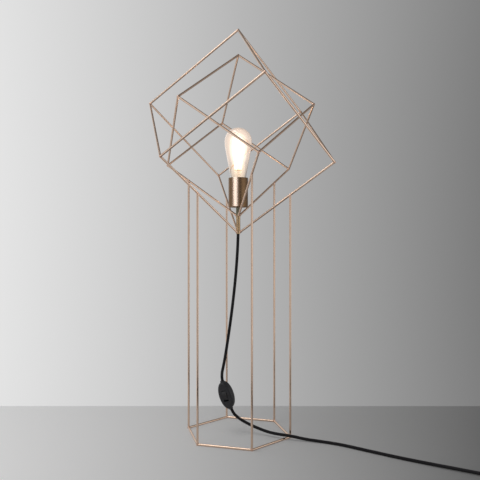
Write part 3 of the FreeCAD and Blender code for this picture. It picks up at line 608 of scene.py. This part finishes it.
for card in cards:
    mesh = bpy.data.meshes.new(card["name"])
    middle = rightWay * card["middle"][0] + depthWay * card["middle"][1] + Vector((0, 0, card["middle"][2]))
    width, depth = rightWay * card["size"][0] / 2, depthWay * card["size"][1] / 2
    corners = [middle + width * x + depth * y for x, y in ((-1, -1), (1, -1), (1, 1), (-1, 1))]
    mesh.from_pydata(corners, [], [(0, 1, 2, 3)])
    mesh.materials.append(newMaterial(
        "matt " + card["name"].replace("_", " "), Base_Color=[0, 0, 0, 1], Roughness=1.0, Specular_IOR_Level=0.0,
        Emission_Color=hexColour(card["tone"]), Emission_Strength=1.0)[0])
    board = bpy.data.objects.new(card["name"], mesh)
    for ray in ("camera", "diffuse", "shadow"):
        setattr(board, "visible_" + ray, False)
    bpy.context.scene.collection.objects.link(board)

# Backdrop: tones by how far a direction points to the right, from -1 to 1. Its light falls to a share below the
# floor's far edge, on the camera's side, and overhead, where it falls less in front. Each span is where the fall
# sets in and ends, by height or by depth.
backdrop = {
    "tones": ((-1.0, "#b4b4b4"), (-0.4, "#e7e7e7"), (0.0, "#b6b6b6"), (0.4, "#777777"), (1.0, "#a4a4a4")),
    "edge": -15.45, "edgeBlur": 0.002, "below": 0.8,
    "front": 0.74, "frontSpan": (-0.6, 0.3),
    "ceiling": 0.35, "ceilingSpan": (0.38, 0.75), "ceilingInFront": 0.25, "ceilingDepth": (-0.4, 0.3)}

world = bpy.data.worlds.new("studio")
world.use_nodes = True
bpy.context.scene.world = world
tree = world.node_tree
way = addNode(tree, "ShaderNodeTexCoord").outputs["Generated"]
across = addNode(tree, "ShaderNodeVectorMath", {0: way, 1: rightWay}, operation="DOT_PRODUCT")
fade = addNode(tree, "ShaderNodeMapRange", {"Value": across.outputs["Value"], "From Min": -1.0})
tone = addNode(tree, "ShaderNodeValToRGB", {"Fac": fade.outputs["Result"]})
stops = tone.color_ramp.elements
for i, (toRight, code) in enumerate(backdrop["tones"]):
    share = toRight / 2 + 0.5
    stop = stops.new(share) if 0 < i < len(backdrop["tones"]) - 1 else stops[0 if i == 0 else -1]
    stop.position, stop.color = share, hexColour(code)
ahead = addNode(tree, "ShaderNodeVectorMath", {0: way, 1: depthWay}, operation="DOT_PRODUCT").outputs["Value"]
height = addNode(tree, "ShaderNodeSeparateXYZ", {"Vector": way}).outputs["Z"]
front = addNode(tree, "ShaderNodeMapRange", {
    "Value": ahead, "From Min": backdrop["frontSpan"][0], "From Max": backdrop["frontSpan"][1],
    "To Min": backdrop["front"]})
edge = math.sin(math.radians(backdrop["edge"]))
below = addNode(tree, "ShaderNodeMapRange", {
    "Value": height, "From Min": edge - backdrop["edgeBlur"], "From Max": edge + backdrop["edgeBlur"],
    "To Min": backdrop["below"]})
level = addNode(tree, "ShaderNodeMath", {
    0: front.outputs["Result"], 1: below.outputs["Result"]}, operation="MULTIPLY").outputs[0]
above = addNode(tree, "ShaderNodeMapRange", {
    "Value": height, "From Min": backdrop["ceilingSpan"][0], "From Max": backdrop["ceilingSpan"][1]})
fall = backdrop["ceiling"] - 1
behind = addNode(tree, "ShaderNodeMapRange", {
    "Value": ahead, "From Min": backdrop["ceilingDepth"][0], "From Max": backdrop["ceilingDepth"][1],
    "To Min": backdrop["ceilingInFront"] * fall, "To Max": fall})
dim = addNode(tree, "ShaderNodeMath", {
    0: above.outputs["Result"], 1: behind.outputs["Result"], 2: 1.0}, operation="MULTIPLY_ADD").outputs[0]
level = addNode(tree, "ShaderNodeMath", {0: level, 1: dim}, operation="MULTIPLY").outputs[0]
tree.links.new(tone.outputs["Color"], tree.nodes["Background"].inputs["Color"])
tree.links.new(level, tree.nodes["Background"].inputs["Strength"])

# Softboxes round the lamp, all facing its middle; bearing from the camera's side in degrees, metres and watts.
# Two spare the floor, and the last lights the cup alone, for the band on it.
aim = Vector((0, 0, 0.5))
lamps = [
    {"name": "left_softbox", "bearing": -70, "distance": 0.75, "height": 1.98, "size": (1.3, 0.95), "power": 9.0},
    {"name": "right_softbox", "bearing": 65, "distance": 1.3, "height": 0.37, "size": (1.3, 0.7), "power": 2.6,
     "spares": "floor"},
    {"name": "left_strip", "bearing": -45, "distance": 1.3, "height": 0.75, "size": (0.4, 1.3), "power": 1.0,
     "spares": "floor"},
    {"name": "cup_strip", "bearing": -35, "distance": 1.8, "height": 0.72, "size": (1.5, 0.9), "power": 82.0,
     "light": "#b1ccff", "only": "lampholder_cup"}]

for lamp in lamps:
    light = bpy.data.lights.new(lamp["name"], "AREA")
    light.shape = "RECTANGLE"
    light.size, light.size_y = lamp["size"]
    light.energy = lamp["power"]
    light.color = hexColour(lamp.get("light", "#ffffff"))[:3]
    holder = bpy.data.objects.new(lamp["name"], light)
    bearing = math.radians(lamp["bearing"])
    holder.location = (rightWay * math.sin(bearing) - depthWay * math.cos(bearing)) * lamp["distance"]
    holder.location.z = lamp["height"]
    holder.rotation_euler = (aim - holder.location).to_track_quat("-Z", "Y").to_euler()
    holder.visible_camera = False
    if "only" in lamp or "spares" in lamp:
        chosen = bpy.data.collections.new(lamp["name"])
        chosen.objects.link(nodes[lamp["only"]] if "only" in lamp else floorPiece)
        chosen.collection_objects[0].light_linking.link_state = "INCLUDE" if "only" in lamp else "EXCLUDE"
        holder.light_linking.receiver_collection = chosen
    bpy.context.scene.collection.objects.link(holder)
bpy.context.scene.view_settings.view_transform = "Standard"
print("studio lit by", len(lamps), "lamps")
